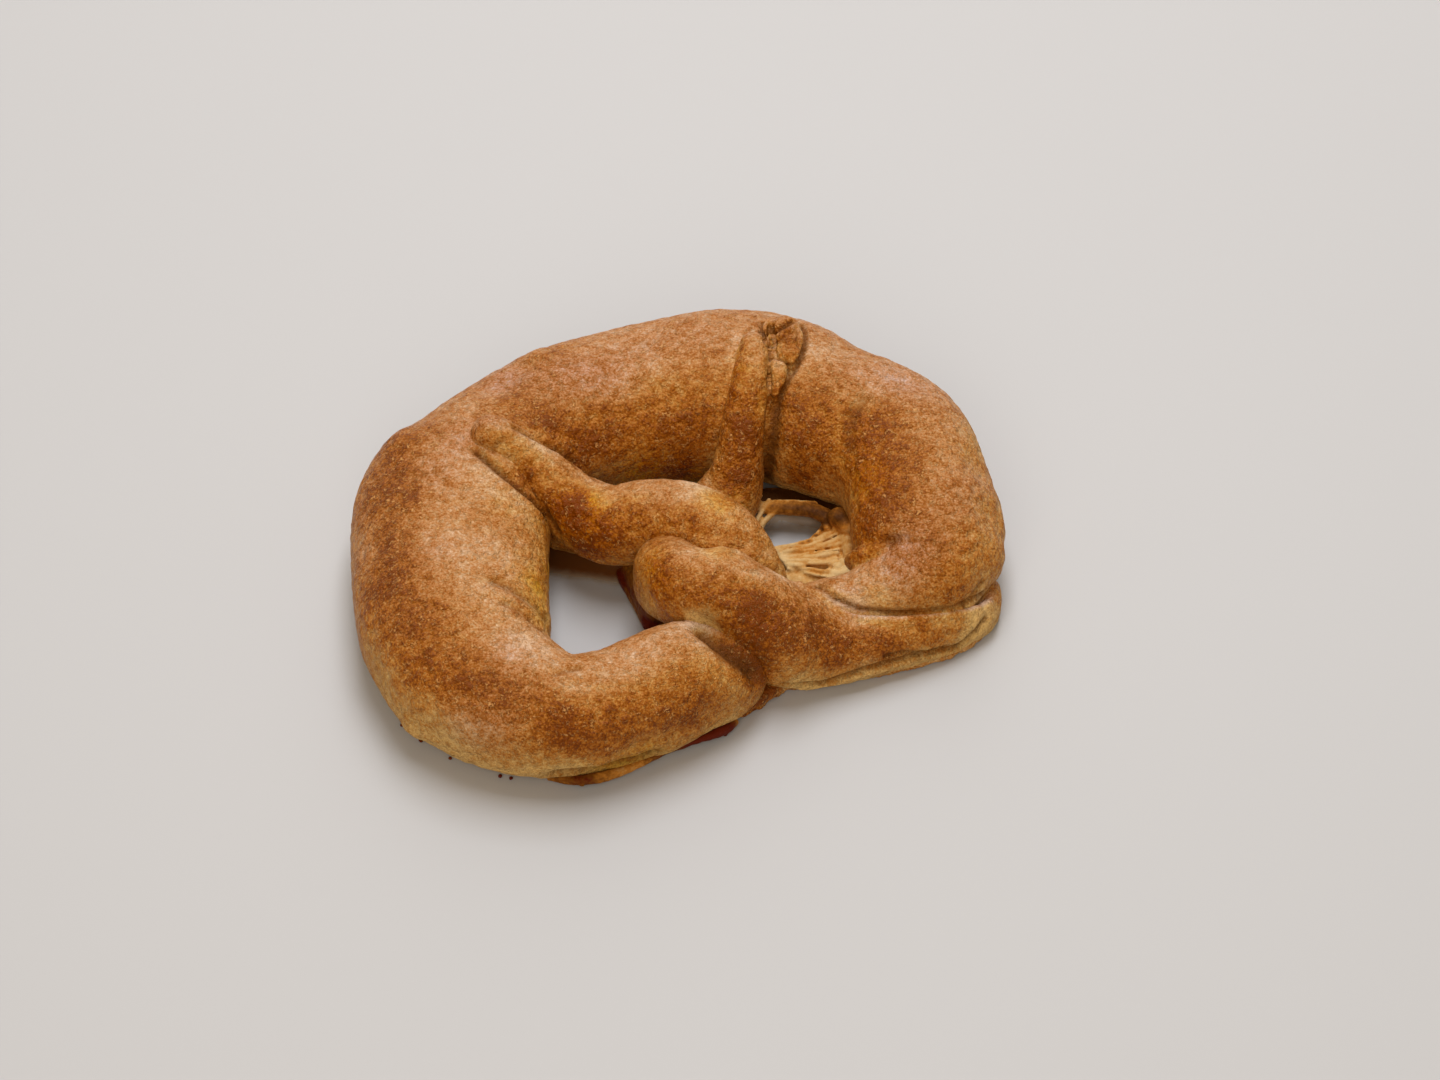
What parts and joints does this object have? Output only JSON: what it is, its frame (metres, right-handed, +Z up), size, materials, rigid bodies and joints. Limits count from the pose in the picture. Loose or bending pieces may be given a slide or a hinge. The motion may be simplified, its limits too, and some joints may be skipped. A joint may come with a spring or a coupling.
{
  "type": "jalapeno cheddar pretzel",
  "caption": "Stuffed soft pretzel of one twisted dough rope, baked flat underneath, with a skin of leaked cheese set across its right-hand hole.",
  "frame": {"origin": "middle of the outline, on the table that the flat base rests on", "axes": "+X along the longer side, to the right as seen from the front, where the rope's ends cross; +Y away from the front; +Z up"},
  "size_m": [0.168, 0.1498, 0.0367],
  "materials": {
    "baked_dough": "satin",
    "set_cheese": "satin"
  },
  "bodies": {
    "root": {"pretzel_dough": "baked_dough", "cheese_web": "set_cheese"}
  },
  "joints": []
}
